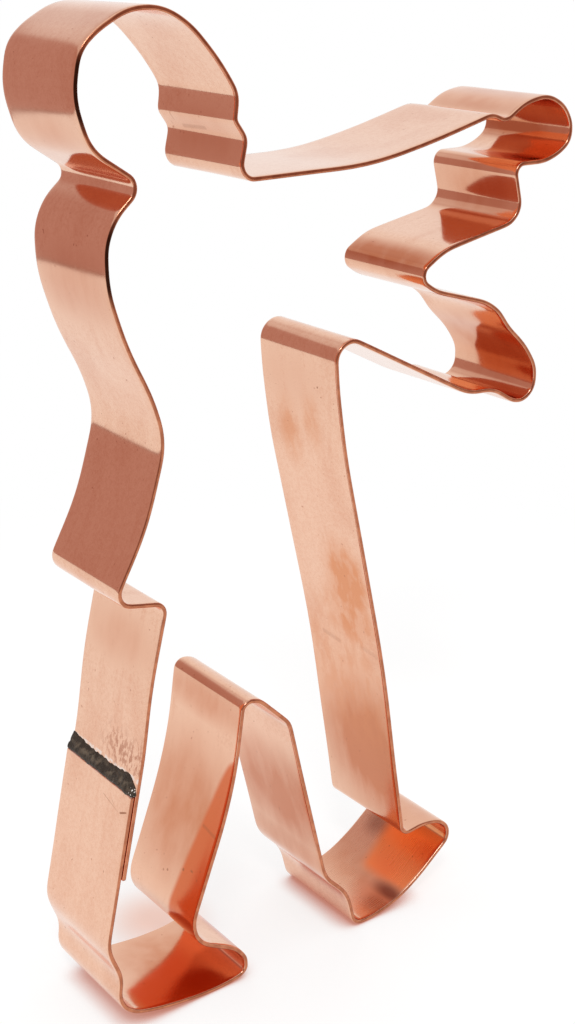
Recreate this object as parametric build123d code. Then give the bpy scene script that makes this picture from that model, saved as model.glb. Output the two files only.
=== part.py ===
from build123d import *
import os
from math import cos, radians, sin, tan

# A cookie cutter: one copper strip bent on edge into the outline of a walking figure, whose
# two ends lap on the back of the rear leg and are soldered there.
# X is the way the figure walks, Y runs across the strip, Z is up. All sizes are millimetres.
# The outline is drawn as the strip's middle line, with X = 0 at the front of the chest and
# Z = 0 where that line lies along the floor. At the end it is centred over the origin.

# Strip
strip_width = 19.0
strip_thickness = 0.7

# Lap of the two ends, and its solder
lap_length = 14.5
lap_gap = 0.15
lap_lean = 12.2  # degrees from upright
lap_top_height = 40.5
bead_height = 2.2
bead_proud = 0.15
film_margin = 0.6

# Levels of the figure, one above the other, and the places under the neck level
leg_height = 69.0
torso_height = 58.3
head_height = 22.5
upper_hand_drop = 11.0
underarm_drop = 24.7
lower_hand_drop = 40.2
crotch_height = 49.1

# Torso and head, measured back from the front of the chest
torso_length = 38.0
back_hollow = 8.1
head_length = 26.0
nose_setback = 15.7
crotch_setback = 17.2

# Arms and hands, measured forward from the front of the chest
upper_arm_length = 32.2
upper_arm_rise = 5.8
upper_hand_length = 14.3
upper_hand_height = 18.9
arm_split_reach = 16.7
lower_arm_length = 27.0
lower_hand_length = 14.5
lower_hand_height = 17.4

# Feet
rear_toe_setback = 17.3
rear_foot_length = 25.3
rear_foot_height = 15.5
front_toe_reach = 26.2
front_foot_length = 27.4
front_foot_height = 14.4

# Levels and edges that several regions share
neck_level = leg_height + torso_height
rear_foot_left = -rear_toe_setback - rear_foot_length
front_foot_left = front_toe_reach - front_foot_length
head_left = -nose_setback - head_length
upper_hand_low = neck_level - upper_hand_drop
lower_hand_low = neck_level - lower_hand_drop

# Directions along the lap, upward, and square to it, toward the outside of the leg
lap_up = Vector(sin(radians(lap_lean)), cos(radians(lap_lean)))
lap_out = Vector(-lap_up.Y, lap_up.X)


def corners_of(left, low, width, height, shares):
    """Corners of one region, from shares of its width and height, each with its roundness."""
    return [(Vector(left + across * width, low + up * height), roundness) for across, up, roundness in shares]


def back_of_torso():
    """From the back of the rear thigh round the jacket's hem and up to the shoulders."""
    thigh_shares = [(0.56, 0.82, 0.75)]
    hem_shares = [(0.94, 0.0, 0.40), (-0.15, 0.03, 0.65)]
    back_shares = [
        (0.57, 0.21, 0.75),
        (1.00, 0.41, 0.95),
        (0.78, 0.52, 0.95),
        (0.31, 0.65, 0.85),
        (0.00, 0.79, 0.95),
        (0.00, 0.89, 0.95),
        (0.21, 0.95, 0.90),
    ]
    thigh = corners_of(-torso_length, 0, back_hollow, leg_height, thigh_shares)
    back = corners_of(-torso_length, leg_height, back_hollow, torso_height, hem_shares + back_shares)
    return thigh + back


def head():
    """From the nape over the crown and down the face to the corner under the chin."""
    head_shares = [
        (0.37, 0.03, 0.90),
        (0.08, 0.25, 0.70),
        (0.00, 0.54, 0.95),
        (0.04, 0.78, 0.95),
        (0.13, 0.88, 0.95),
        (0.32, 1.00, 0.95),
        (0.51, 1.00, 0.95),
        (0.67, 0.90, 0.95),
        (0.84, 0.69, 0.95),
        (0.95, 0.50, 0.80),
        (0.93, 0.35, 0.40),
        (1.00, 0.24, 0.65),
        (0.95, 0.00, 0.95),
    ]
    return corners_of(head_left, neck_level, head_length, head_height, head_shares)


def upper_arm():
    """From the corner under the chin along the top of the arm to the notch at the wrist."""
    arm_shares = [(0.45, 0.04, 0.90), (0.70, 0.44, 0.90), (0.945, 1.00, 0.85), (1.00, 0.78, 0.85)]
    chin_x = head()[-1][0].X
    return corners_of(chin_x, neck_level, upper_arm_length - chin_x, upper_arm_rise, arm_shares)


def upper_hand():
    """From the wrist round the fist and the thumb's notch to the start of the gap between the arms."""
    hand_shares = [
        (0.27, 0.955, 0.85),
        (0.62, 1.00, 0.95),
        (0.88, 0.90, 0.95),
        (1.00, 0.75, 0.95),
        (0.98, 0.615, 0.90),
        (0.85, 0.535, 0.90),
        (0.62, 0.47, 0.90),
        (0.165, 0.47, 0.60),
        (0.285, 0.12, 0.90),
        (0.165, 0.00, 0.90),
    ]
    return corners_of(upper_arm_length, upper_hand_low, upper_hand_length, upper_hand_height, hand_shares)


def arm_gap():
    """The narrow rounded end of the gap between the two arms."""
    gap_shares = [(0.26, 0.77, 0.85), (0.00, 0.56, 0.95), (0.00, 0.40, 0.95), (0.17, 0.25, 0.90)]
    gap_low = lower_hand_low + lower_hand_height
    return corners_of(arm_split_reach, gap_low, upper_arm_length - arm_split_reach, upper_hand_low - gap_low, gap_shares)


def lower_hand():
    """From the top of the lower wrist round the hand to the underside of the lower arm."""
    hand_shares = [
        (0.19, 1.00, 0.85),
        (0.39, 0.895, 0.85),
        (0.54, 0.725, 0.90),
        (0.82, 0.52, 0.95),
        (1.00, 0.29, 0.90),
        (0.99, 0.10, 0.90),
        (0.865, 0.00, 0.95),
        (0.69, 0.00, 0.95),
        (0.36, 0.17, 0.80),
        (0.00, 0.175, 0.90),
    ]
    return corners_of(lower_arm_length, lower_hand_low, lower_hand_length, lower_hand_height, hand_shares)


def chest_and_shin():
    """From the underarm down the chest and the front of the leading leg."""
    front_shares = [
        (0.18, 1.00, 0.95),
        (0.00, 0.98, 0.95),
        (0.025, 0.915, 0.95),
        (0.12, 0.80, 0.90),
        (0.65, 0.39, 0.45),
    ]
    ankle = front_foot()[0][0]
    return corners_of(0, ankle.Y, ankle.X, neck_level - underarm_drop - ankle.Y, front_shares)


def front_foot():
    """From the front of the ankle round the raised toe, the sole and the heel to the cuff."""
    foot_shares = [
        (0.615, 0.955, 0.70),
        (0.79, 1.00, 0.90),
        (0.93, 0.94, 0.95),
        (1.00, 0.80, 0.90),
        (1.00, 0.635, 0.90),
        (0.755, 0.265, 0.90),
        (0.58, 0.08, 0.90),
        (0.385, 0.00, 0.80),
        (0.235, 0.00, 0.90),
        (0.175, 0.475, 0.75),
        (0.00, 0.82, 0.60),
    ]
    return corners_of(front_foot_left, 0, front_foot_length, front_foot_height, foot_shares)


def crotch():
    """From the inner side of the leading leg over the bend between the legs."""
    crotch_shares = [(0.54, 0.835, 0.25), (0.17, 0.995, 0.95), (0.00, 1.00, 0.95)]
    cuff = front_foot()[-1][0]
    return corners_of(-crotch_setback, cuff.Y, cuff.X + crotch_setback, crotch_height - cuff.Y, crotch_shares)


def rear_shin():
    """Down the front of the trailing leg."""
    shin_shares = [(0.86, 0.72, 0.90), (0.65, 0.495, 0.90)]
    ankle = rear_foot()[0][0]
    return corners_of(ankle.X, ankle.Y, -crotch_setback - ankle.X, crotch_height - ankle.Y, shin_shares)


def rear_foot():
    """From the front of the ankle round the toe, the flat of the sole and the heel to the calf."""
    foot_shares = [
        (0.565, 0.71, 0.90),
        (0.92, 0.385, 0.95),
        (1.00, 0.215, 0.90),
        (1.00, 0.075, 0.95),
        (0.955, 0.025, 0.95),
        (0.845, 0.00, 0.90),
        (0.66, 0.00, 0.95),
        (0.375, 0.06, 0.90),
        (0.15, 0.16, 0.95),
        (0.06, 0.365, 0.95),
        (0.09, 0.615, 0.95),
        (0.00, 1.00, 0.60),
    ]
    return corners_of(rear_foot_left, 0, rear_foot_length, rear_foot_height, foot_shares)


def outer_end():
    """Middle of the strip's outer end, on the straight stretch that rises from the calf."""
    calf = rear_foot()[-1][0]
    return calf + lap_up * ((lap_top_height - calf.Y) / lap_up.Y)


def inner_lap_point(rise):
    """Point of the inner strip's middle line at the lap, a rise above the outer strip's end."""
    return outer_end() - lap_out * (strip_thickness + lap_gap) + lap_up * rise


def middle_line():
    """Corners of the whole strip in order, from its inner end round the figure to its outer end."""
    straight_share = 2.4
    calf_roundness_share = 0.3
    above_lap = (inner_lap_point(bead_height * straight_share), calf_roundness_share)
    figure = back_of_torso() + head() + upper_arm() + upper_hand() + arm_gap() + lower_hand()
    legs = chest_and_shin() + front_foot() + crotch() + rear_shin() + rear_foot()
    return [(inner_lap_point(-lap_length), 0), above_lap] + figure + legs + [(outer_end(), 0)]


def bend_radius(before, corner, after, roundness):
    """Radius of one bend: a share of the largest that half of the shorter run beside it allows."""
    arriving = corner - before
    leaving = after - corner
    turn = radians(arriving.get_angle(leaving))
    return roundness * min(arriving.length, leaving.length) / 2 / tan(turn / 2)


def left_of(start, end):
    """Direction square to a run, toward its left."""
    run = (end - start).normalized()
    return Vector(-run.Y, run.X)


def strip_side(offset):
    """One face line of the strip, a distance to the left of its middle line, with the bends' centres kept."""
    points = [point for point, _ in middle_line()]
    roundness = [share for _, share in middle_line()]
    side = [points[0] + left_of(points[0], points[1]) * offset]
    radii = []
    for before, corner, after, share in zip(points, points[1:], points[2:], roundness[1:]):
        arriving = left_of(before, corner)
        leaving = left_of(corner, after)
        side.append(corner + (arriving + leaving) * (offset / (1 + arriving.dot(leaving))))
        inward = offset if arriving.cross(leaving).Z > 0 else -offset
        radii.append(bend_radius(before, corner, after, share) - inward)
    side.append(points[-1] + left_of(points[-2], points[-1]) * offset)
    return FilletPolyline(*side, radius=radii)


def across_strip(section, width):
    """A section of the outline, stood up and carried equally to both sides of the strip's middle."""
    return extrude(Plane.XZ * section, width / 2, both=True)


def make_strip():
    """The bent strip: two face lines joined at the strip's square ends."""
    left_side = strip_side(strip_thickness / 2)
    right_side = strip_side(-strip_thickness / 2)
    ends = Line(left_side @ 0, right_side @ 0) + Line(left_side @ 1, right_side @ 1)
    return across_strip(make_face(left_side + right_side + ends), strip_width)


def make_solder():
    """The solder: a bead against the outer strip's end, and the film drawn down into the lap."""
    bulge_share = 0.5
    inner_face = inner_lap_point(0) + lap_out * (strip_thickness / 2)
    step = lap_gap + strip_thickness
    bead_top = inner_face + lap_up * bead_height
    bead_middle = inner_face + lap_up * (bead_height * bulge_share) + lap_out * (step + bead_proud) * bulge_share
    bulge = bead_middle + (lap_up * step + lap_out * bead_height).normalized() * (step * bulge_share)
    front = ThreePointArc(inner_face + lap_out * step, bulge, bead_top)
    bead = make_face(front + Polyline(bead_top, inner_face, inner_face + lap_out * step))
    film_end = inner_face - lap_up * lap_length
    film = Polyline(inner_face, film_end, film_end + lap_out * lap_gap, inner_face + lap_out * lap_gap, close=True)
    return across_strip(bead, strip_width) + across_strip(make_face(film), strip_width - 2 * film_margin)


strip = make_strip()
solder = make_solder()
box = strip.bounding_box()
to_origin = Location((-box.center().X, 0, -box.min.Z))

os.makedirs("parts", exist_ok=True)
export_step(to_origin * strip, "parts/copper_strip.step")
export_step(to_origin * solder, "parts/solder_seam.step")
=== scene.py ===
import math

import bmesh
import bpy
from bpy.props import FloatProperty, FloatVectorProperty, IntProperty, PointerProperty
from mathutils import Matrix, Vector, noise


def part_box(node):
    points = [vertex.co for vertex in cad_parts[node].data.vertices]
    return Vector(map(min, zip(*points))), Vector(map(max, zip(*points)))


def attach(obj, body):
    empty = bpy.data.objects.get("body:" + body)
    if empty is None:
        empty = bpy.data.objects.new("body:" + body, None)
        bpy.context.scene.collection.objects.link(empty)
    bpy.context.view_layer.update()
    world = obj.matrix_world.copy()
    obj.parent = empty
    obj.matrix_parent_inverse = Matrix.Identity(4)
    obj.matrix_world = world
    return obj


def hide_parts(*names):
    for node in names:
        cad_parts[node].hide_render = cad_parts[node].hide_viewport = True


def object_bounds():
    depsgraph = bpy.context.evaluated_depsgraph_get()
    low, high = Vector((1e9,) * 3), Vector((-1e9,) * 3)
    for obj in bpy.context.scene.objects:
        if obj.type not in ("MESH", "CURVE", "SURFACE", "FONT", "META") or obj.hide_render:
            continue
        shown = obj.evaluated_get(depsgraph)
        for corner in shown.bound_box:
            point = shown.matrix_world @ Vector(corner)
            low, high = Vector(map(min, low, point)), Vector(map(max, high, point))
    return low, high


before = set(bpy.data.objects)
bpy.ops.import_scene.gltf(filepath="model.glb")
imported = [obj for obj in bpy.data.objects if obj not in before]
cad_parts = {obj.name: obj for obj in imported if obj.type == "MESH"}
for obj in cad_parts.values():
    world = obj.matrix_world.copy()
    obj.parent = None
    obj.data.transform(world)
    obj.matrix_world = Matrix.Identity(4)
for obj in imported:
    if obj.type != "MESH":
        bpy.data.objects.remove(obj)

bl_info = {
    "name": "Copper Cookie Cutter",
    "version": (1, 0, 0),
    "blender": (4, 5, 0),
    "location": "3D View > Sidebar > Cutter",
    "description": "Dresses a bent copper cookie cutter and its soldered seam, and lays a pale floor",
    "category": "Object",
}

MM = 0.001
SQUARE_CORNER = math.radians(50)
cad_low, cad_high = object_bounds()
strip_low, strip_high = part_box("copper_strip")
seam_low, seam_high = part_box("solder_seam")


class CutterStripSizes(bpy.types.PropertyGroup):
    """Sizes of the bent strip's finished skin."""

    thickness: FloatProperty(
        name="Thickness", description="Thickness of the copper strip", default=0.7 * MM, unit="LENGTH"
    )
    edge_round: FloatProperty(
        name="Edge round", description="Rounding of the strip's slit edges",
        default=0.28 * MM, unit="LENGTH",
    )
    longest_step: FloatProperty(
        name="Longest step", description="Longest stretch of the strip that stays flat", default=0.8 * MM,
        unit="LENGTH",
    )
    rows: IntProperty(name="Rows", description="Rows of faces across the strip", default=12)
    edge_curl: FloatProperty(
        name="Edge curl", description="How far the slit edges turn inward",
        default=0.035 * MM, unit="LENGTH",
    )
    curl_band: FloatProperty(
        name="Curl band", description="Width of the band along each edge that curls", default=3.0 * MM,
        unit="LENGTH",
    )
    wave_height: FloatProperty(
        name="Wave height", description="Depth of the waves that bending by hand leaves",
        default=0.07 * MM, unit="LENGTH",
    )
    wave_length: FloatProperty(
        name="Wave length", description="Distance over which the waves change",
        default=14.0 * MM, unit="LENGTH",
    )


class CutterCopperFinish(bpy.types.PropertyGroup):
    """Colours and polish of the copper."""

    colour: FloatVectorProperty(
        name="Copper", description="Colour that clean copper reflects",
        default=(0.85, 0.535, 0.385), size=3, subtype="COLOR",
    )
    deep: FloatVectorProperty(
        name="Deep copper", description="Colour of the copper that other copper mirrors",
        default=(0.82, 0.29, 0.13), size=3, subtype="COLOR",
    )
    # This colour covers the tarnish and smudges, and also the dark reflection bands painted into the copper
    # as darker places.
    stain_and_reflection_band: FloatVectorProperty(
        name="Stain", description="Colour of the tarnish and smudges", default=(0.60, 0.22, 0.11), size=3,
        subtype="COLOR",
    )
    edge: FloatVectorProperty(
        name="Slit edge", description="Colour of the sheared edge", default=(0.56, 0.21, 0.11), size=3,
        subtype="COLOR",
    )
    slit_dark: FloatVectorProperty(
        name="Slit edge, dark", description="Colour of the darker streaks along the sheared edge",
        default=(0.42, 0.145, 0.075), size=3, subtype="COLOR",
    )
    # Painted dark reflection: the near black that the near slit edge mirrors behind the head and the
    # shoulder.
    edge_dark_reflection: FloatVectorProperty(
        name="Edge oxide", description="Colour of the blackened stretches of the slit edge",
        default=(0.020, 0.008, 0.005), size=3, subtype="COLOR",
    )
    burn: FloatVectorProperty(
        name="Flux burn", description="Colour of the burnt flux above the seam",
        default=(0.42, 0.15, 0.08), size=3, subtype="COLOR",
    )
    # Painted reflection: the warm red of copper mirrored in the rear shin, painted into its colour.
    tint: FloatVectorProperty(
        name="Heat tint", description="Colour of the warm tint on the rear shin",
        default=(0.64, 0.15, 0.055), size=3, subtype="COLOR",
    )
    rubbed: FloatVectorProperty(
        name="Rubbed", description="Colour of the rubbed places on the front leg",
        default=(0.70, 0.29, 0.14), size=3, subtype="COLOR",
    )
    # Painted reflection: the red of copper mirrored inside the rear foot, and its darker part.
    heel_red: FloatVectorProperty(
        name="Heel tint", description="Colour of the red tint inside the rear foot",
        default=(0.80, 0.30, 0.19), size=3, subtype="COLOR",
    )
    heel_dark: FloatVectorProperty(
        name="Heel tint, dark", description="Colour of the darker part of the tint inside the rear foot",
        default=(0.62, 0.20, 0.12), size=3, subtype="COLOR",
    )
    # Painted shade: the dark places round the painted reflection inside the front toe.
    shade: FloatVectorProperty(
        name="Shade", description="Colour of the dark smudges round the tint inside the front toe",
        default=(0.30, 0.12, 0.08), size=3, subtype="COLOR",
    )
    # Painted reflection: the orange of copper mirrored inside the front toe, with its redder end.
    toe: FloatVectorProperty(
        name="Toe tint", description="Colour of the orange tint inside the front toe",
        default=(1.0, 0.38, 0.14), size=3, subtype="COLOR",
    )
    toe_red: FloatVectorProperty(
        name="Toe tint, red", description="Colour of the redder end of the tint inside the front toe",
        default=(1.0, 0.27, 0.09), size=3, subtype="COLOR",
    )
    scratch: FloatVectorProperty(
        name="Scratch", description="Colour of the fine scratches and dots",
        default=(0.30, 0.11, 0.05), size=3, subtype="COLOR",
    )
    tin: FloatVectorProperty(
        name="Tinned fringe", description="Colour of the thin tinning round the solder",
        default=(0.84, 0.74, 0.68), size=3, subtype="COLOR",
    )
    roughness: FloatProperty(
        name="Roughness", description="Roughness of the polished faces", default=0.115, subtype="FACTOR"
    )
    edge_roughness: FloatProperty(
        name="Edge roughness", description="Added roughness of the slit edges",
        default=0.08, subtype="FACTOR",
    )


class CutterSolderLook(bpy.types.PropertyGroup):
    """Shape and colours of the solder bead."""

    reach: FloatProperty(
        name="Reach", description="Height of the bead above the outer strip's end", default=1.72 * MM,
        unit="LENGTH",
    )
    lap_over: FloatProperty(
        name="Lap over", description="How far the bead runs down over the outer strip", default=0.38 * MM,
        unit="LENGTH",
    )
    raggedness: FloatProperty(
        name="Raggedness", description="Depth of the ragged edge", default=0.24 * MM, unit="LENGTH"
    )
    dark: FloatVectorProperty(
        name="Dark solder", description="Colour of the dull solder",
        default=(0.040, 0.031, 0.022), size=3, subtype="COLOR",
    )
    # Painted glints: pale spots at the near end of the bead, painted into its colour.
    painted_glints: FloatVectorProperty(
        name="Clean drops", description="Colour of the clean drops at the near end",
        default=(0.80, 0.80, 0.76), size=3, subtype="COLOR",
    )
    pale: FloatVectorProperty(
        name="Pale solder", description="Colour of the brighter spots",
        default=(0.150, 0.118, 0.082), size=3, subtype="COLOR",
    )


class CutterStage(bpy.types.PropertyGroup):
    """Floor, light and camera."""

    floor_radius: FloatProperty(
        name="Floor radius", description="Radius of the pale floor", default=0.345, unit="LENGTH"
    )
    floor_glow: FloatProperty(
        name="Floor glow", description="Share of the near floor's light that is its own", default=0.70,
        subtype="FACTOR",
    )
    contact_reach: FloatProperty(
        name="Contact reach", description="How far the warm shadow reaches from where the cutter stands",
        default=4.5 * MM, unit="LENGTH",
    )
    contact_colour: FloatVectorProperty(
        name="Contact", description="Colour of the floor in the warm shadow right by the cutter",
        default=(0.64, 0.28, 0.21), size=3, subtype="COLOR",
    )
    blush_colour: FloatVectorProperty(
        name="Blush", description="Colour of the floor where the rear foot throws its warm light",
        default=(0.90, 0.60, 0.50), size=3, subtype="COLOR",
    )
    floor_colour: FloatVectorProperty(
        name="Floor", description="Colour of the floor",
        default=(0.99, 0.975, 0.97), size=3, subtype="COLOR",
    )
    card_radius: FloatProperty(
        name="Card radius", description="Radius of the round card that the copper mirrors", default=0.25,
        unit="LENGTH",
    )
    card_shoulder: FloatProperty(
        name="Card shoulder", description="Height above which the dark card is paler", default=274 * MM,
        unit="LENGTH",
    )
    card_foot: FloatProperty(
        name="Card foot", description="Height of the card's lower edge", default=0.056, unit="LENGTH"
    )
    opening: FloatProperty(
        name="Opening", description="Direction of the card's open side, from +Y toward +X",
        default=math.radians(55), subtype="ANGLE",
    )
    wall_colour: FloatVectorProperty(
        name="Dark card", description="Colour of the card behind the cutter",
        default=(0.556, 0.329, 0.289), size=3, subtype="COLOR",
    )
    front_colour: FloatVectorProperty(
        name="Front card", description="Colour of the card in front of the cutter",
        default=(0.42, 0.27, 0.24), size=3, subtype="COLOR",
    )
    camera_place: FloatVectorProperty(
        name="Camera", description="Where the camera stands", default=(-0.1399, -0.1816, 0.1585), size=3,
        subtype="TRANSLATION", unit="LENGTH",
    )
    camera_pitch: FloatProperty(
        name="Pitch", description="Angle of the camera's view below level", default=math.radians(20.38),
        subtype="ANGLE",
    )
    camera_turn: FloatProperty(
        name="Turn", description="Angle of the camera's view from +Y toward +X",
        default=math.radians(36.81), subtype="ANGLE",
    )
    lens: FloatProperty(name="Lens", description="Focal length in millimetres", default=54.61)


def settings(name):
    """One of the cutter's groups of settings, from the scene."""
    return getattr(bpy.context.scene, "cutter_" + name)


def finished_piece(name, bm, material, node):
    """Turns a bmesh into a smooth-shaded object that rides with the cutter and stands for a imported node."""
    mesh = bpy.data.meshes.new(name)
    bm.to_mesh(mesh)
    bm.free()
    for polygon in mesh.polygons:
        polygon.use_smooth = True
    mesh.materials.append(material)
    piece = bpy.data.objects.new(name, mesh)
    bpy.context.scene.collection.objects.link(piece)
    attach(piece, "root")
    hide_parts(node)


def sharp_edges(bm, least_angle):
    """Edges at which the skin turns by more than an angle."""
    return [edge for edge in bm.edges if len(edge.link_faces) == 2 and edge.calc_face_angle() > least_angle]


def islands(bm):
    """The groups of faces that hang together."""
    left = set(bm.faces)
    groups = []
    while left:
        group, front = set(), [left.pop()]
        while front:
            face = front.pop()
            group.add(face)
            near = {other for edge in face.edges for other in edge.link_faces} & left
            left -= near
            front.extend(near)
        groups.append(group)
    return groups


def outer_skin(node):
    """The strip's outer face alone: the largest of the skins that its square corners part."""
    merge_gap = 0.002 * MM
    flat_enough = math.radians(0.05)
    bm = bmesh.new()
    bm.from_mesh(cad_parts[node].data)
    bmesh.ops.remove_doubles(bm, verts=bm.verts, dist=merge_gap)
    bmesh.ops.split_edges(bm, edges=sharp_edges(bm, SQUARE_CORNER))
    skins = islands(bm)
    largest = max(skins, key=lambda faces: sum(face.calc_area() for face in faces))
    spare = [face for face in bm.faces if face not in largest]
    bmesh.ops.delete(bm, geom=spare, context="FACES")
    bmesh.ops.join_triangles(
        bm, faces=bm.faces, angle_face_threshold=flat_enough, angle_shape_threshold=math.pi
    )
    return bm


def cut_to_length(bm, longest):
    """Cuts the long flat stretches of the skin, so that no step along the strip is longer than asked."""
    by_cuts = {}
    for edge in bm.edges:
        run = edge.verts[1].co - edge.verts[0].co
        if abs(run.y) < run.length / 2:
            by_cuts.setdefault(math.ceil(run.length / longest) - 1, []).append(edge)
    for cuts, edges in by_cuts.items():
        if cuts > 0:
            bmesh.ops.subdivide_edges(bm, edges=edges, cuts=cuts, use_grid_fill=True)


def cut_across(bm, places):
    """Cuts the skin lengthwise at the given places across its width."""
    for place in places:
        geometry = list(bm.verts) + list(bm.edges) + list(bm.faces)
        bmesh.ops.bisect_plane(bm, geom=geometry, plane_co=(0, place, 0), plane_no=(0, 1, 0))


def hand_bent(bm, sizes):
    """Eases the kinks between steps, then curls the slit edges and waves the skin a little."""
    easing_passes = 3
    easing = 0.5
    calm_near_lap = 9.0 * MM
    for _ in range(easing_passes):
        bmesh.ops.smooth_vert(
            bm, verts=bm.verts, factor=easing, use_axis_x=True, use_axis_y=False, use_axis_z=True
        )
    bm.normal_update()
    lap_middle = (seam_low + seam_high) / 2
    for vertex in bm.verts:
        away = vertex.co - lap_middle
        away.y = 0
        calm = min(1, away.length / calm_near_lap) ** 2
        wave = noise.noise(vertex.co / sizes.wave_length) * sizes.wave_height * calm
        band = (abs(vertex.co.y) - (strip_high.y - sizes.curl_band)) / sizes.curl_band
        curl = sizes.edge_curl * max(0, band) ** 3
        vertex.co += vertex.normal * (wave - curl)


def keep_in_box(bm):
    """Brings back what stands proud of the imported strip's own box."""
    for vertex in bm.verts:
        limits = zip(vertex.co, strip_low, strip_high)
        vertex.co = [min(max(value, low), high) for value, low, high in limits]


class CUTTER_OT_strip(bpy.types.Operator):
    """Make the bent copper strip"""

    bl_idname = "cutter.strip"
    bl_label = "Bent Copper Strip"

    def execute(self, context):
        sizes = settings("strip")
        bevel_rows = 4
        margin_rounds = (3, 6)
        bm = outer_skin("copper_strip")
        cut_to_length(bm, sizes.longest_step)
        width = strip_high.y - strip_low.y
        margins = [width / 2 - sizes.edge_round * count for count in margin_rounds]
        inner_rows = [strip_low.y + width * row / sizes.rows for row in range(1, sizes.rows)]
        cut_across(bm, inner_rows + margins + [-margin for margin in margins])
        hand_bent(bm, sizes)
        bmesh.ops.solidify(bm, geom=bm.faces[:], thickness=sizes.thickness)
        bmesh.ops.recalc_face_normals(bm, faces=bm.faces)
        bmesh.ops.bevel(
            bm, geom=sharp_edges(bm, SQUARE_CORNER), offset=sizes.edge_round, offset_type="OFFSET",
            segments=bevel_rows, profile=0.5, affect="EDGES", material=-1,
        )
        keep_in_box(bm)
        finished_piece("copper_strip_finish", bm, copper_material(), "copper_strip")
        return {"FINISHED"}


class SeamPlace:
    """Where the seam lies: the directions up the leg and out of it, the inner strip's face and the top."""

    def __init__(self):
        lean = math.radians(12.2)
        self.up = Vector((math.sin(lean), 0, math.cos(lean)))
        self.out = Vector((-math.cos(lean), 0, math.sin(lean)))
        corners = [vertex.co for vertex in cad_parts["solder_seam"].data.vertices]
        self.inner_face = min(corner.dot(self.out) for corner in corners)
        self.top = max(corner.dot(self.up) for corner in corners)

    def point(self, rise, height, across):
        """A point at a rise along the lap, a height over the inner strip's face, and a place across it."""
        return self.up * rise + self.out * (self.inner_face + height) + Vector((0, across, 0))


def bead_edges(across, look):
    """Where the bead's lower and upper edges lie on the lap, at a place across the strip."""
    rag_size, fine_rag_size = 2.2 * MM, 0.75 * MM
    low_wander_share, low_nibble_share = 0.8, 0.7
    far_start, far_length, far_rise = 2.5 * MM, 6 * MM, 0.42 * MM
    shoulder_place, shoulder_width, shoulder_rise = -6.2 * MM, 1.7 * MM, 0.60 * MM
    round_start, round_length = -6.3 * MM, 3.15 * MM
    wander = noise.noise(Vector((across / rag_size, 3.1, 0)))
    nibble = noise.noise(Vector((across / fine_rag_size, 7.7, 0)))
    low_nibble = noise.noise(Vector((across / fine_rag_size, 11.3, 0)))
    low_wander = noise.noise(Vector((across / rag_size, 17.9, 0)))
    far_share = max(0, min(1, (across - far_start) / far_length))
    shoulder = math.exp(-(((across - shoulder_place) / shoulder_width) ** 2))
    top = look.reach + look.raggedness * (wander + nibble) + far_rise * far_share + shoulder_rise * shoulder
    low = -look.lap_over + look.raggedness * (low_nibble * low_nibble_share + low_wander * low_wander_share)
    rounding = max(0, min(1, (round_start - across) / round_length))
    top = low + (top - low) * math.sqrt(1 - rounding ** 2)
    return low, top


def bead_height(rise, share, end, across, step):
    """Height of the solder over the inner strip's face, at a rise and at a share of the bead's width."""
    lump_size, grain_size = 1.7 * MM, 0.35 * MM
    ramp_start = 0.15
    least_proud, lump_depth, pit_depth = 0.15 * MM, 0.08 * MM, 0.04 * MM
    swell = math.sqrt(max(0, 4 * share * (1 - share)))
    lump = noise.noise(Vector((across / lump_size, rise / lump_size, 1.7)))
    pit = noise.noise(Vector((across / grain_size, rise / grain_size, 5.3)))
    ramp = step * (1 - max(0, share - ramp_start) / (1 - ramp_start))
    proud = (least_proud + lump_depth * lump + pit_depth * pit) * swell
    return (ramp + proud) * end


class CUTTER_OT_solder(bpy.types.Operator):
    """Make the lumpy solder bead across the lap, and the thin film in the lap"""

    bl_idname = "cutter.solder"
    bl_label = "Solder Seam"

    def execute(self, context):
        look = settings("solder")
        place = SeamPlace()
        step = 0.85 * MM
        bead_top = 2.2 * MM
        outer_end = place.top - bead_top
        rows, columns = 26, 190
        inset = 0.01 * MM
        half = (strip_high.y - strip_low.y) / 2 - inset
        end_round = 0.35 * MM
        sink = 0.04 * MM
        bite_place, bite_width, bite_power, bite_depth = 0.45, 0.16, 14, 0.45 * MM
        bm = bmesh.new()
        bmesh.ops.create_grid(bm, x_segments=rows, y_segments=columns, size=0.5)
        bottom = bm.verts[:]
        grown = bmesh.ops.extrude_face_region(bm, geom=bm.faces[:], use_keep_orig=True)["geom"]
        top_skin = {item for item in grown if isinstance(item, bmesh.types.BMVert)}
        for vertex in bottom + list(top_skin):
            share = vertex.co.x + 0.5
            bite = math.exp(-(((share - bite_place) / bite_width) ** 2))
            bite *= max(0, vertex.co.y * 2) ** bite_power
            across = vertex.co.y * 2 * half - bite * bite_depth
            low, top = bead_edges(across, look)
            past = max(0, abs(across) - (half - end_round)) / end_round
            end = math.sqrt(max(0, 1 - past ** 2))
            rise = low + share * (top - low)
            height = (step if rise < 0 else 0) * end - sink
            if vertex in top_skin:
                height = bead_height(rise, share, end, across, step)
            vertex.co = place.point(outer_end + rise, height, across)
        film = bmesh.ops.create_cube(bm, size=1)["verts"]
        film_length, film_width, film_depth = 14.3 * MM, 17.8 * MM, 0.11 * MM
        film_start, film_gap = -0.1 * MM, 0.02 * MM
        for vertex in film:
            rise = film_start - (0.5 - vertex.co.z) * film_length
            height = film_gap + (vertex.co.x + 0.5) * film_depth
            vertex.co = place.point(outer_end + rise, height, vertex.co.y * film_width)
        bmesh.ops.recalc_face_normals(bm, faces=bm.faces)
        finished_piece("solder_bead", bm, solder_material(), "solder_seam")
        return {"FINISHED"}


def new_material(name):
    """An empty node material, and its node tree."""
    material = bpy.data.materials.new(name)
    material.use_nodes = True
    tree = material.node_tree
    tree.nodes.clear()
    return material, tree


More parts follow.
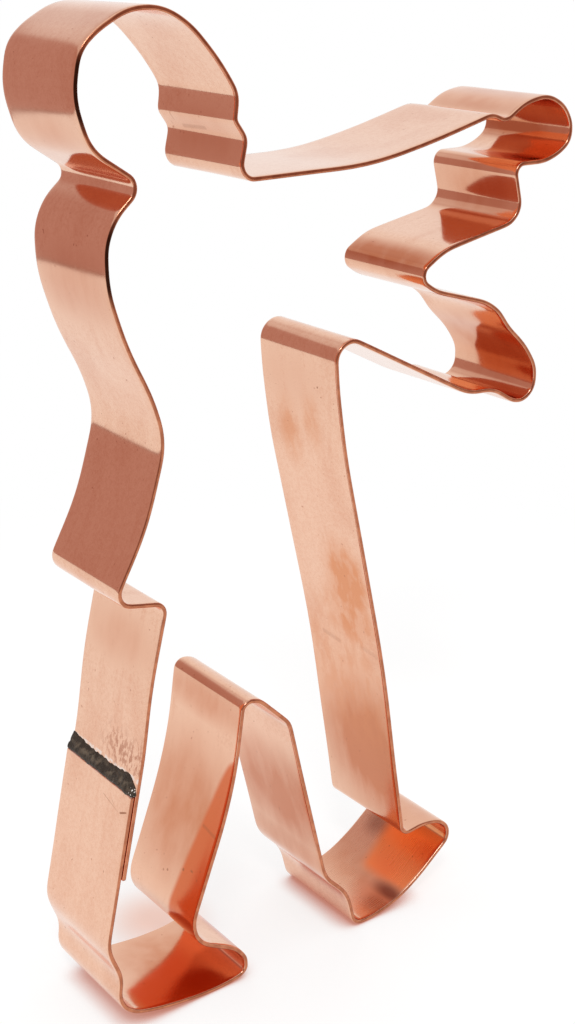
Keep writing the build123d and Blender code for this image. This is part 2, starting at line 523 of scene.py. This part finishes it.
def add_node(tree, kind, links=None, **values):
    """Adds a node, sets its own options or input sockets by name, and links sockets into it."""
    node = tree.nodes.new(kind)
    for key, value in values.items():
        if hasattr(node, key):
            setattr(node, key, value)
        else:
            node.inputs[key.replace("_", " ").title()].default_value = value
    for key, source in (links or {}).items():
        tree.links.new(source, node.inputs[key])
    return node


def mottle_group():
    """The shared patchy mask: a noise between two levels, at a scale in patterns per metre."""
    name = "Mottle"
    if name in bpy.data.node_groups:
        return bpy.data.node_groups[name]
    group = bpy.data.node_groups.new(name, "ShaderNodeTree")
    for label, kind, value in (
        ("Vector", "NodeSocketVector", None),
        ("Scale", "NodeSocketFloat", 100.0),
        ("Detail", "NodeSocketFloat", 3.0),
        ("Low", "NodeSocketFloat", 0.4),
        ("High", "NodeSocketFloat", 0.7),
    ):
        socket = group.interface.new_socket(label, in_out="INPUT", socket_type=kind)
        if value is not None:
            socket.default_value = value
    group.interface.new_socket("Mask", in_out="OUTPUT", socket_type="NodeSocketFloat")
    source = group.nodes.new("NodeGroupInput")
    sink = group.nodes.new("NodeGroupOutput")
    pattern = add_node(
        group, "ShaderNodeTexNoise",
        {key: source.outputs[key] for key in ("Vector", "Scale", "Detail")},
    )
    mask = add_node(
        group, "ShaderNodeMapRange",
        {
            "Value": pattern.outputs["Fac"],
            "From Min": source.outputs["Low"],
            "From Max": source.outputs["High"],
        },
        interpolation_type="SMOOTHSTEP",
    )
    group.links.new(mask.outputs["Result"], sink.inputs["Mask"])
    return group


def mottle(tree, vector, scale, detail, low, high):
    """Places the patchy mask in a material and gives its output."""
    node = tree.nodes.new("ShaderNodeGroup")
    node.node_tree = mottle_group()
    for key, value in (("Scale", scale), ("Detail", detail), ("Low", low), ("High", high)):
        node.inputs[key].default_value = value
    tree.links.new(vector, node.inputs["Vector"])
    return node.outputs["Mask"]


def math_node(tree, operation, first, second=0.0):
    """One operation on values or sockets, and its output."""
    node = tree.nodes.new("ShaderNodeMath")
    node.operation = operation
    for socket, value in zip(node.inputs, (first, second)):
        if isinstance(value, bpy.types.NodeSocket):
            tree.links.new(value, socket)
        else:
            socket.default_value = value
    return node.outputs[0]


def product(tree, first, *others):
    """The product of values or sockets."""
    for other in others:
        first = math_node(tree, "MULTIPLY", first, other)
    return first


def added(tree, first, *others):
    """The sum of values or sockets."""
    for other in others:
        first = math_node(tree, "ADD", first, other)
    return first


def along(tree, vector, direction):
    """How far a vector reaches in a direction."""
    node = add_node(tree, "ShaderNodeVectorMath", {0: vector}, operation="DOT_PRODUCT")
    node.inputs[1].default_value = direction
    return node.outputs["Value"]


def mixed_colour(tree, mask, first, second):
    """Mixes two colours or sockets by a mask."""
    node = tree.nodes.new("ShaderNodeMix")
    node.data_type = "RGBA"
    for socket, value in ((node.inputs[0], mask), (node.inputs[6], first), (node.inputs[7], second)):
        if isinstance(value, bpy.types.NodeSocket):
            tree.links.new(value, socket)
        else:
            socket.default_value = (*value, 1)
    return node.outputs[2]


def stretched(tree, coordinates, scale):
    """Coordinates with their own scale along each axis."""
    return add_node(tree, "ShaderNodeMapping", {"Vector": coordinates}, Scale=scale).outputs["Vector"]


def smooth_step(tree, value, start, end, low=0.0, high=1.0):
    """Rises smoothly from a low to a high level between two levels of a value."""
    node = add_node(tree, "ShaderNodeMapRange", {"Value": value}, interpolation_type="SMOOTHSTEP")
    for key, level in (("From Min", start), ("From Max", end), ("To Min", low), ("To Max", high)):
        node.inputs[key].default_value = level
    return node.outputs["Result"]


def within(tree, value, low, high, soft):
    """A mask that is 1 where a value lies between two limits, with soft ends."""
    rising = smooth_step(tree, value, low - soft, low + soft)
    falling = smooth_step(tree, value, high + soft, high - soft)
    return product(tree, rising, falling)


# Handled places that have gone a little darker, together with dark reflection bands of the copper painted as
# darker places: centre and reach in mm, and strength.
HANDLED_AND_REFLECTION_SPOTS = (
    ((11, -5, 29), (9, 20, 20), 1.40),
    ((-24, 0, 27), (9, 20, 22), 0.95),
    ((-7, -2, 26), (7, 22, 17), 1.20),
    ((-4, -1, 15), (5, 20, 9), 0.80),
    ((-19, 0, 133), (8, 16, 6), 0.55),
    ((33, 0, 121), (9, 16, 9), 0.75),
    ((-28, 0, 0), (14, 16, 6), 0.90),
    ((-40, -1, 114.5), (8, 17, 8), 0.66),
    ((34, 0, 136), (11, 16, 6), 0.70),
    ((-43, 0, 134), (6, 16, 6), 0.50),
    ((14, 2, 2), (12, 18, 7), 0.75),
    ((-36, 0, 62), (6, 16, 7), 0.50),
    ((16, 6, 93), (14, 5, 6), 0.30),
    ((-1, 2, 95), (6, 14, 9), 0.28),
    ((-20, 0, 46.5), (4, 18, 5), 0.75),
    ((15, 0, 113), (4, 22, 4), 1.30),
    ((19, -3, 15), (9, 18, 3), 0.55),
    ((44.5, 2, 129.5), (4, 20, 3.5), 1.20),
    ((40.5, -6, 126.5), (4, 8, 4), 0.80),
    ((36, -2, 95), (9, 20, 12), 1.00),
)


# Rubbed places of a warmer colour on the front leg, in the same way.
RUBBED = (
    ((4, -4, 61), (6, 7, 10), 1.70),
    ((6, -3, 54), (6, 10, 9), 1.05),
    ((9, 0, 44), (9, 22, 20), 0.60),
    ((-1, 4, 86), (5, 4, 8), 0.70),
    ((-1, -2, 89), (4, 3, 6), 0.60),
)


# Painted shade round the painted reflection inside the front toe, in the same way.
TOE_SHADES = (
    ((20.5, 5.2, 7), (3.2, 3.8, 5), 0.64),
    ((12.5, -7.4, 2), (2.1, 5.2, 4), 1.05),
    ((9.6, -7.6, 1), (3.4, 3.6, 3), 0.50),
    ((23.6, -3, 10), (2.4, 16, 2.8), 0.45),
)


# The redder end of the painted reflection inside the front toe, in the same way.
TOE_RED_END = (((15.0, -2.5, 3), (4.5, 9, 6), 1.0),)


# The place inside the rear foot that takes less of the painted reflection, in the same way.
HEEL_HOLLOW = (((-27, -9.5, 1), (8, 6.5, 9), 1.0),)


# The warm light that the rear foot throws on the floor, in the same way.
FLOOR_BLUSH = (((-23, 13, 0), (11, 11, 11), 0.85),)


# Scratches and dots on the copper: start and end in mm, half width in mm and strength.
MARKS = (
    ((-40.3, -7.4, 37.2), (-40.3, -8.9, 37.9), 0.22, 0.90),
    ((-40.2, -2.4, 38.1), (-40.3, -7.2, 37.0), 0.14, 0.35),
    ((-40.2, -3.4, 39.2), (-40.2, -5.6, 37.6), 0.12, 0.30),
    ((-28.1, 1.0, 18.3), (-28.1, 1.0, 18.3), 0.28, 0.55),
    ((-27.9, 0.0, 18.7), (-27.9, 0.0, 18.7), 0.30, 0.70),
    ((-27.3, -3.7, 20.4), (-27.3, -3.7, 20.4), 0.34, 0.75),
    ((-27.0, -5.6, 21.0), (-27.0, -5.9, 21.0), 0.28, 0.60),
    ((-24.3, -5.3, 28.1), (-24.5, -8.8, 27.6), 0.40, 0.32),
    ((7.6, 5.2, 48.9), (7.6, 1.2, 48.5), 0.65, 0.20),
    ((7.6, -5.0, 49.6), (7.5, -8.6, 49.2), 0.65, 0.13),
    ((-19.8, 7.9, 136.4), (-18.4, 7.3, 133.0), 0.12, 0.40),
    ((-19.7, 6.5, 135.4), (-18.3, 6.0, 132.6), 0.14, 0.45),
    ((-18.6, 4.6, 133.6), (-18.7, -0.8, 133.8), 0.50, 0.30),
    ((-1.9, -4.6, 95.0), (-1.9, -4.6, 95.0), 0.26, 0.75),
)


def place_mask(tree, coordinates, places):
    """Soft spots, each round a centre, with its reach and strength."""
    rim, core = 1.1, 0.1
    total = None
    for centre, reach, strength in places:
        scale = [1 / (value * MM) for value in reach]
        shift = [-middle / value for middle, value in zip(centre, reach)]
        local = add_node(tree, "ShaderNodeMapping", {"Vector": coordinates}, Scale=scale, Location=shift)
        distance = add_node(tree, "ShaderNodeVectorMath", {0: local.outputs["Vector"]}, operation="LENGTH")
        spot = smooth_step(tree, distance.outputs["Value"], rim, core, high=strength)
        total = spot if total is None else math_node(tree, "MAXIMUM", total, spot)
    return total


def marks_mask(tree, coordinates):
    """Fine scratches and dots: each is a short line with rounded ends."""
    full_part = 0.3
    total = None
    for start, end, reach, strength in MARKS:
        way = (Vector(end) - Vector(start)) * MM
        offset = add_node(tree, "ShaderNodeVectorMath", {0: coordinates}, operation="SUBTRACT")
        offset.inputs[1].default_value = Vector(start) * MM
        offset = offset.outputs["Vector"]
        share = along(tree, offset, way / (way.length_squared or 1.0))
        share = math_node(tree, "MINIMUM", math_node(tree, "MAXIMUM", share, 0.0), 1.0)
        nearest = add_node(tree, "ShaderNodeVectorMath", {"Scale": share}, operation="SCALE")
        nearest.inputs[0].default_value = way
        nearest = nearest.outputs["Vector"]
        gap = add_node(tree, "ShaderNodeVectorMath", {0: offset, 1: nearest}, operation="DISTANCE")
        mark = smooth_step(tree, gap.outputs["Value"], reach * MM, reach * MM * full_part, high=strength)
        total = mark if total is None else math_node(tree, "MAXIMUM", total, mark)
    return total


def handled_and_reflection_masks(tree, coordinates):
    """How far the handled places, with the dark reflection bands painted among them, and the rubbed places
    have changed, with broken borders.
    """
    least_handled_and_reflection = 0.68
    least_rubbed = 0.52
    broken = stretched(tree, coordinates, (1, 1, 0.35))
    broken = mottle(tree, broken, scale=300.0, detail=4.0, low=0.25, high=0.75)
    broken = added(tree, least_handled_and_reflection, product(tree, broken, 1 - least_handled_and_reflection))
    scuffs = stretched(tree, coordinates, (1, 1, 0.55))
    scuffs = mottle(tree, scuffs, scale=480.0, detail=5.0, low=0.40, high=0.62)
    scuffs = added(tree, least_rubbed, product(tree, scuffs, 1 - least_rubbed))
    handled_and_reflection = product(tree, place_mask(tree, coordinates, HANDLED_AND_REFLECTION_SPOTS), broken)
    rubbed = product(tree, place_mask(tree, coordinates, RUBBED), scuffs)
    return handled_and_reflection, rubbed


def off_near_edge(tree, axes):
    """The width of the strip but for its rounded near edge."""
    edge_width = 0.40 * MM
    return within(tree, axes.outputs["Y"], strip_low.y + edge_width, strip_high.y, soft=0.10 * MM)


def shin_painted_reflection(tree, axes):
    """The painted reflection on the rear shin: a warm wedge along its near edge, which widens toward the
    foot.
    """
    top, bottom = 40 * MM, 11 * MM
    left, right = -32 * MM, -17 * MM
    widening = 0.044
    soft = 0.6 * MM
    drop = math_node(tree, "MAXIMUM", math_node(tree, "SUBTRACT", top, axes.outputs["Z"]), 0.0)
    depth = product(tree, math_node(tree, "POWER", drop, 0.5), widening)
    inward = added(tree, axes.outputs["Y"], strip_high.y)
    wedge = smooth_step(tree, math_node(tree, "SUBTRACT", depth, inward), -soft, soft)
    on_shin = within(tree, axes.outputs["X"], left, right, soft=0.5 * MM)
    return product(tree, wedge, on_shin, within(tree, axes.outputs["Z"], bottom, top, soft=1.5 * MM))


def front_foot(tree, axes, top, soft):
    """The front foot up to a height."""
    left, right = 6 * MM, 34 * MM
    under_floor = -5 * MM
    along_foot = within(tree, axes.outputs["X"], left, right, soft=3 * MM)
    return product(tree, along_foot, within(tree, axes.outputs["Z"], under_floor, top, soft))


def toe_painted_reflection(tree, axes):
    """The painted reflection inside the front toe: a bright orange patch with a slanting far border and one
    across the sole.
    """
    slant = 0.28
    far_start, far_full = -1.0 * MM, -3.9 * MM
    sole_start, sole_full = 12.6 * MM, 15.0 * MM
    curl_top = 11.5 * MM
    from_far = math_node(tree, "SUBTRACT", axes.outputs["Y"], product(tree, axes.outputs["X"], slant))
    patch = smooth_step(tree, from_far, far_start, far_full)
    patch = product(tree, patch, smooth_step(tree, axes.outputs["X"], sole_start, sole_full))
    return product(tree, patch, off_near_edge(tree, axes), front_foot(tree, axes, curl_top, soft=1.0 * MM))


def heel_painted_reflection(tree, coordinates, axes):
    """The painted red reflection inside the rear foot, from a bent line across the sole on, and its darker
    part.
    """
    toe = -21.5 * MM
    steep_slope, gentle_slope, gentle_shift = 0.82, 0.49, 1.45 * MM
    tint_start, tint_full = 6.3 * MM, 5.3 * MM
    left, right, top = -38.2 * MM, -10 * MM, 7 * MM
    under_floor = -5 * MM
    most, kept_off = 0.95, 0.70
    dark_corner, dark_slope = -23.3 * MM, 0.78
    dark_start, dark_full = 0.7 * MM, -1.3 * MM
    from_toe = math_node(tree, "SUBTRACT", toe, axes.outputs["X"])
    steep = product(tree, from_toe, steep_slope)
    gentle = added(tree, product(tree, from_toe, gentle_slope), gentle_shift)
    beyond = added(tree, axes.outputs["Y"], math_node(tree, "MINIMUM", steep, gentle))
    hollow = product(tree, place_mask(tree, coordinates, HEEL_HOLLOW), kept_off)
    patch = product(
        tree,
        smooth_step(tree, beyond, tint_start, tint_full),
        within(tree, axes.outputs["X"], left, right, soft=0.8 * MM),
        within(tree, axes.outputs["Z"], under_floor, top, soft=1.0 * MM),
        off_near_edge(tree, axes),
        math_node(tree, "SUBTRACT", most, hollow),
    )
    slope = product(tree, math_node(tree, "SUBTRACT", axes.outputs["X"], dark_corner), dark_slope)
    depth = math_node(tree, "SUBTRACT", axes.outputs["Y"], math_node(tree, "MINIMUM", slope, 0.0))
    return patch, smooth_step(tree, depth, dark_start, dark_full)


def burn_mask(tree, coordinates, axes):
    """Spots of burnt flux above the near half of the seam."""
    spots = stretched(tree, coordinates, (1, 1, 0.6))
    return product(
        tree,
        within(tree, axes.outputs["Z"], seam_high.z - 0.5 * MM, seam_high.z + 5.0 * MM, soft=2.5 * MM),
        within(tree, axes.outputs["X"], cad_low.x, seam_high.x + 3.5 * MM, soft=0.3 * MM),
        within(tree, axes.outputs["Y"], strip_low.y - 5 * MM, 0.5 * MM, soft=3.5 * MM),
        mottle(tree, spots, scale=1500.0, detail=3.0, low=0.46, high=0.60),
    )


def fringe_mask(tree, coordinates, axes):
    """The broken tinned fringe above and below the bead."""
    place = SeamPlace()
    rise = along(tree, coordinates, place.up)
    above = within(tree, rise, place.top - 0.7 * MM, place.top + 0.1 * MM, soft=0.15 * MM)
    below = within(tree, rise, place.top - 2.78 * MM, place.top - 2.35 * MM, soft=0.1 * MM)
    on_leg = within(tree, axes.outputs["X"], cad_low.x, seam_high.x + 1.0 * MM, soft=0.3 * MM)
    broken = mottle(tree, coordinates, scale=1100.0, detail=3.0, low=0.38, high=0.58)
    return product(tree, math_node(tree, "MAXIMUM", above, below), on_leg, broken)


def edge_dark_reflection_mask(tree, axes, edge):
    """Painted dark reflection on the near slit edge, near black: stretches behind the head and behind the
    shoulder.
    """
    past_left = cad_low.x * 1.1
    head_side = product(
        tree,
        within(tree, axes.outputs["Z"], 136 * MM, 145 * MM, soft=1.5 * MM),
        within(tree, axes.outputs["X"], past_left, -40.5 * MM, soft=0.6 * MM),
    )
    back_side = product(
        tree,
        within(tree, axes.outputs["Z"], 114 * MM, 124 * MM, soft=2.0 * MM),
        within(tree, axes.outputs["X"], past_left, -37.0 * MM, soft=0.6 * MM),
    )
    near = within(tree, axes.outputs["Y"], strip_low.y * 2, 0, soft=MM)
    return product(tree, edge, near, math_node(tree, "MAXIMUM", head_side, back_side))


def copper_material():
    """Bright rolled copper: lengthwise grain, tarnish and smudges with dark reflection bands painted among
    them, painted reflections and painted shade on the rear shin and inside the feet, burnt flux by the seam,
    and dull slit edges with a painted dark reflection.
    """
    finish = settings("copper")
    material, tree = new_material("rolled_copper")
    coordinates = tree.nodes.new("ShaderNodeTexCoord").outputs["Object"]
    axes = add_node(tree, "ShaderNodeSeparateXYZ", {"Vector": coordinates})

    lengthwise = stretched(tree, coordinates, (0.02, 1, 0.02))
    grain = mottle(tree, lengthwise, scale=4200.0, detail=2.0, low=0.25, high=0.75)
    tall = stretched(tree, coordinates, (1, 1, 0.6))
    smudges = mottle(tree, tall, scale=110.0, detail=5.0, low=0.46, high=0.72)
    drawn_out = stretched(tree, coordinates, (0.12, 1, 0.12))
    streaks = mottle(tree, drawn_out, scale=420.0, detail=3.0, low=0.48, high=0.80)
    fine = mottle(tree, coordinates, scale=1500.0, detail=2.0, low=0.35, high=0.70)
    finest = mottle(tree, coordinates, scale=4000.0, detail=1.0, low=0.40, high=0.72)
    specks = mottle(tree, coordinates, scale=1400.0, detail=1.0, low=0.755, high=0.79)
    slit_streaks = mottle(tree, coordinates, scale=700.0, detail=4.0, low=0.35, high=0.65)
    smudge_share, fine_share, finest_share = 0.21, 0.13, 0.14
    wear_and_reflection = added(
        tree,
        product(tree, math_node(tree, "MAXIMUM", smudges, streaks), smudge_share),
        product(tree, fine, fine_share),
        product(tree, finest, finest_share),
    )
    # The handled places include dark reflection bands painted into the colour.
    handled_and_reflection, rubbed = handled_and_reflection_masks(tree, coordinates)
    wear_and_reflection = math_node(tree, "MAXIMUM", wear_and_reflection, handled_and_reflection)

    slit_width = 0.10 * MM
    from_middle = math_node(tree, "ABSOLUTE", axes.outputs["Y"])
    edge = within(tree, from_middle, strip_high.y - slit_width, strip_high.y + 1.0 * MM, soft=0.05 * MM)
    slit = mixed_colour(tree, slit_streaks, finish.edge, finish.slit_dark)
    toe_reflection_colour = mixed_colour(tree, place_mask(tree, coordinates, TOE_RED_END), finish.toe, finish.toe_red)
    heel_reflection, heel_shade = heel_painted_reflection(tree, coordinates, axes)
    heel_reflection_colour = mixed_colour(tree, heel_shade, finish.heel_red, finish.heel_dark)
    burn = burn_mask(tree, coordinates, axes)
    mirrored = tree.nodes.new("ShaderNodeLightPath").outputs["Is Glossy Ray"]

    # The coats from the first to the last: where each lies, its strength and its colour.
    colour = finish.colour
    for mask, share, coat in (
        # Tarnish and smudges, with the painted dark reflection bands.
        (wear_and_reflection, None, finish.stain_and_reflection_band),
        (rubbed, None, finish.rubbed),
        # The painted reflection on the rear shin.
        (shin_painted_reflection(tree, axes), 0.94, finish.tint),
        # The painted reflection inside the front toe.
        (toe_painted_reflection(tree, axes), 0.92, toe_reflection_colour),
        # The painted shade round the toe.
        (place_mask(tree, coordinates, TOE_SHADES), None, finish.shade),
        # The painted reflection inside the rear foot.
        (heel_reflection, None, heel_reflection_colour),
        (specks, 0.6, finish.burn),
        (marks_mask(tree, coordinates), None, finish.scratch),
        (burn, 0.65, finish.burn),
        (fringe_mask(tree, coordinates, axes), 0.8, finish.tin),
        (edge, None, slit),
        # The painted dark reflection on the near slit edge.
        (edge_dark_reflection_mask(tree, axes, edge), 0.9, finish.edge_dark_reflection),
        (mirrored, None, finish.deep),
    ):
        amount = mask if share is None else product(tree, mask, share)
        colour = mixed_colour(tree, amount, colour, coat)

    dulling, sole_dulling, burn_dulling = 0.03, 0.14, 0.2
    sole_top = 9 * MM
    rough = added(
        tree,
        finish.roughness,
        product(tree, added(tree, smudges, grain), dulling),
        product(tree, front_foot(tree, axes, sole_top, soft=2 * MM), sole_dulling),
        product(tree, burn, burn_dulling),
        product(tree, edge, finish.edge_roughness),
    )
    bump = add_node(tree, "ShaderNodeBump", {"Height": grain}, Strength=0.05, Distance=0.01 * MM)
    shader = add_node(
        tree, "ShaderNodeBsdfPrincipled",
        {"Base Color": colour, "Roughness": rough, "Normal": bump.outputs["Normal"]}, Metallic=1.0,
    )
    add_node(tree, "ShaderNodeOutputMaterial", {"Surface": shader.outputs["BSDF"]})
    return material


def solder_material():
    """Dull grey-brown solder, paler and pitted along its middle, with painted glints at the near end."""
    look = settings("solder")
    material, tree = new_material("burnt_solder")
    coordinates = tree.nodes.new("ShaderNodeTexCoord").outputs["Object"]
    axes = add_node(tree, "ShaderNodeSeparateXYZ", {"Vector": coordinates})
    place = SeamPlace()
    rise = along(tree, coordinates, place.up)
    blotches = mottle(tree, coordinates, scale=950.0, detail=5.0, low=0.42, high=0.66)
    pits = mottle(tree, coordinates, scale=3200.0, detail=3.0, low=0.35, high=0.65)
    bright = mottle(tree, coordinates, scale=1500.0, detail=1.0, low=0.68, high=0.73)
    # Painted glints: pale spots at the near end of the bead.
    painted_glints = mottle(tree, coordinates, scale=4200.0, detail=0.0, low=0.66, high=0.72)
    glints_reach = 1.0 * MM
    past_end, glints_end = strip_low.y - glints_reach, strip_low.y + glints_reach
    near_end = within(tree, axes.outputs["Y"], past_end, glints_end, soft=0.2 * MM)
    least_pale = 0.25
    middle = within(tree, rise, place.top - 1.8 * MM, place.top - 0.9 * MM, soft=0.5 * MM)
    paleness = added(tree, least_pale, product(tree, middle, 1 - least_pale))
    colour = mixed_colour(tree, product(tree, blotches, paleness), look.dark, look.pale)
    colour = mixed_colour(tree, product(tree, near_end, painted_glints), colour, look.painted_glints)
    dull, shine, pit_shine = 0.60, 0.45, 0.12
    rough = math_node(tree, "SUBTRACT", dull, product(tree, bright, shine))
    rough = math_node(tree, "SUBTRACT", rough, product(tree, pits, pit_shine))
    bump = add_node(tree, "ShaderNodeBump", {"Height": pits}, Strength=0.8, Distance=0.08 * MM)
    shader = add_node(
        tree, "ShaderNodeBsdfPrincipled",
        {"Base Color": colour, "Roughness": rough, "Normal": bump.outputs["Normal"]}, Metallic=0.5,
    )
    add_node(tree, "ShaderNodeOutputMaterial", {"Surface": shader.outputs["BSDF"]})
    return material


def floor_material(stage):
    """White paper with a warm shadow near the cutter, and a plain glowing ground away from it."""
    white = (1.0, 1.0, 1.0)
    glow_start, glow_full = stage.floor_radius * 0.25, stage.floor_radius * 0.65
    shadow_samples = 12
    darkest, clear = 0.20, 0.92
    material, tree = new_material("white_paper")
    coordinates = tree.nodes.new("ShaderNodeTexCoord").outputs["Object"]
    distance = add_node(tree, "ShaderNodeVectorMath", {0: coordinates}, operation="LENGTH").outputs["Value"]
    far = smooth_step(tree, distance, glow_start, glow_full, low=stage.floor_glow)
    near = add_node(
        tree, "ShaderNodeAmbientOcclusion", samples=shadow_samples, Distance=stage.contact_reach
    )
    lift = smooth_step(tree, near.outputs["AO"], darkest, clear)
    blush = place_mask(tree, coordinates, FLOOR_BLUSH)
    tone = mixed_colour(tree, lift, stage.contact_colour, stage.floor_colour)
    tone = mixed_colour(tree, blush, tone, stage.blush_colour)
    glow_tone = mixed_colour(tree, lift, stage.contact_colour, white)
    glow_tone = mixed_colour(tree, blush, glow_tone, stage.blush_colour)
    paper = add_node(tree, "ShaderNodeBsdfDiffuse", {"Color": tone})
    glow = add_node(tree, "ShaderNodeEmission", {"Color": glow_tone})
    mix = add_node(tree, "ShaderNodeMixShader", {0: far, 1: paper.outputs[0], 2: glow.outputs[0]})
    add_node(tree, "ShaderNodeOutputMaterial", {"Surface": mix.outputs[0]})
    return material


def card_material(stage):
    """The darker surround that the copper mirrors: brown behind, duller in front, open toward one side."""
    open_start, open_full = 0.21, 0.94
    lean_from, lean = 0.25, 1.2
    front_start, front_full = 0.1, 0.6
    front_drop = 18 * MM
    foot_soft = 1 * MM
    hem_width, hem_share, hem_colour = 5 * MM, 0.45, (0.16, 0.07, 0.05)
    fade_start, fade_full = 0.42, 0.62
    shoulder_soft, shoulder_share = 8 * MM, 0.52
    shoulder_end, shoulder_full = 40 * MM, -20 * MM
    material, tree = new_material("dark_card")
    coordinates = tree.nodes.new("ShaderNodeTexCoord").outputs["Object"]
    axes = add_node(tree, "ShaderNodeSeparateXYZ", {"Vector": coordinates})
    height = axes.outputs["Z"]
    open_way = (math.sin(stage.opening), math.cos(stage.opening), 0)
    share = math_node(tree, "DIVIDE", along(tree, coordinates, open_way), stage.card_radius)
    leaning = product(tree, math_node(tree, "SUBTRACT", height, lean_from), lean)
    share = math_node(tree, "SUBTRACT", share, leaning)
    front = math_node(tree, "DIVIDE", axes.outputs["Y"], -stage.card_radius)
    front = smooth_step(tree, front, front_start, front_full)
    from_foot = added(tree, height, product(tree, front, front_drop))
    low, high = stage.card_shoulder - shoulder_soft, stage.card_shoulder + shoulder_soft
    shoulder = product(
        tree,
        smooth_step(tree, height, low, high),
        smooth_step(tree, axes.outputs["X"], shoulder_end, shoulder_full),
        shoulder_share,
    )
    dark = product(
        tree,
        smooth_step(tree, share, open_full, open_start),
        smooth_step(tree, from_foot, stage.card_foot - foot_soft, stage.card_foot + foot_soft),
        smooth_step(tree, height, fade_full, fade_start),
        math_node(tree, "SUBTRACT", 1.0, shoulder),
    )
    hem = within(tree, height, stage.card_foot, stage.card_foot + hem_width, soft=2 * MM)
    colour = mixed_colour(tree, front, stage.wall_colour, stage.front_colour)
    colour = mixed_colour(tree, product(tree, hem, hem_share), colour, hem_colour)
    glow = add_node(tree, "ShaderNodeEmission", {"Color": colour})
    clear = tree.nodes.new("ShaderNodeBsdfTransparent")
    mix = add_node(tree, "ShaderNodeMixShader", {0: dark, 1: clear.outputs[0], 2: glow.outputs[0]})
    add_node(tree, "ShaderNodeOutputMaterial", {"Surface": mix.outputs[0]})
    return material


def staged(name, bm, material):
    """Turns a bmesh into an object of the stage, which isn't part of the cutter."""
    mesh = bpy.data.meshes.new(name)
    bm.to_mesh(mesh)
    bm.free()
    mesh.materials.append(material)
    piece = bpy.data.objects.new(name, mesh)
    bpy.context.scene.collection.objects.link(piece)
    return piece


def make_floor(stage):
    """The round pale floor, with its top at the level that the cutter stands on."""
    bm = bmesh.new()
    bmesh.ops.create_circle(bm, cap_ends=True, radius=stage.floor_radius, segments=128)
    staged("floor", bm, floor_material(stage))


def make_card(stage):
    """The round dark card that only mirror-like surfaces see."""
    height = 0.62
    bm = bmesh.new()
    bmesh.ops.create_cone(
        bm, cap_ends=False, segments=96, radius1=stage.card_radius, radius2=stage.card_radius, depth=height
    )
    bmesh.ops.translate(bm, verts=bm.verts, vec=(0, 0, height / 2))
    card = staged("dark_card", bm, card_material(stage))
    card.visible_camera = False
    card.visible_diffuse = False
    card.visible_shadow = False
    card.visible_transmission = False


def light_world():
    """A plain white surround."""
    world = bpy.data.worlds.new("white_surround")
    bpy.context.scene.world = world
    world.use_nodes = True
    tree = world.node_tree
    tree.nodes.clear()
    glow = add_node(tree, "ShaderNodeBackground", Color=(1, 1, 1, 1), Strength=1.0)
    add_node(tree, "ShaderNodeOutputWorld", {"Surface": glow.outputs[0]})


def add_softbox(name, place, target, width, power):
    """A square area light that looks at a point."""
    lamp = bpy.data.lights.new(name, "AREA")
    lamp.size = width
    lamp.energy = power
    light = bpy.data.objects.new(name, lamp)
    light.location = place
    light.rotation_euler = (Vector(target) - Vector(place)).to_track_quat("-Z", "Y").to_euler()
    bpy.context.scene.collection.objects.link(light)


class CUTTER_OT_stage(bpy.types.Operator):
    """Lay the floor, light the cutter and stand the camera where the photograph was taken"""

    bl_idname = "cutter.stage"
    bl_label = "Stage"

    def execute(self, context):
        stage = settings("stage")
        scene = context.scene
        lamp_place, lamp_target = (-0.35, -0.45, 0.75), (0, 0, 0.07)
        lamp_width, lamp_power = 0.15, 2.0
        make_floor(stage)
        make_card(stage)
        light_world()
        add_softbox("softbox", lamp_place, lamp_target, lamp_width, lamp_power)
        camera = bpy.data.cameras.new("camera")
        camera.sensor_width = 36.0
        camera.lens = stage.lens
        holder = bpy.data.objects.new("camera", camera)
        holder.location = stage.camera_place
        holder.rotation_euler = (math.pi / 2 - stage.camera_pitch, 0, -stage.camera_turn)
        scene.collection.objects.link(holder)
        scene.camera = holder
        scene.view_settings.view_transform = "Standard"
        return {"FINISHED"}


class CUTTER_PT_panel(bpy.types.Panel):
    """The cutter's pieces and their settings"""

    bl_idname = "CUTTER_PT_panel"
    bl_label = "Copper Cutter"
    bl_space_type = "VIEW_3D"
    bl_region_type = "UI"
    bl_category = "Cutter"

    def draw(self, context):
        for operator in STEPS:
            self.layout.operator(operator.bl_idname)
        for name in GROUPS:
            box = self.layout.box()
            group = settings(name)
            for key in group.bl_rna.properties.keys():
                if key not in {"rna_type", "name"}:
                    box.prop(group, key)


STEPS = (CUTTER_OT_strip, CUTTER_OT_solder, CUTTER_OT_stage)
GROUPS = {
    "strip": CutterStripSizes,
    "copper": CutterCopperFinish,
    "solder": CutterSolderLook,
    "stage": CutterStage,
}


def register():
    for group in GROUPS.values():
        bpy.utils.register_class(group)
    for operator in STEPS:
        bpy.utils.register_class(operator)
    bpy.utils.register_class(CUTTER_PT_panel)
    for name, group in GROUPS.items():
        setattr(bpy.types.Scene, "cutter_" + name, PointerProperty(type=group))


def unregister():
    for name in GROUPS:
        delattr(bpy.types.Scene, "cutter_" + name)
    bpy.utils.unregister_class(CUTTER_PT_panel)
    for operator in reversed(STEPS):
        bpy.utils.unregister_class(operator)
    for group in reversed(GROUPS.values()):
        bpy.utils.unregister_class(group)


def main():
    register()
    bpy.ops.cutter.strip()
    bpy.ops.cutter.solder()
    bpy.ops.cutter.stage()


if __name__ == "__main__":
    main()
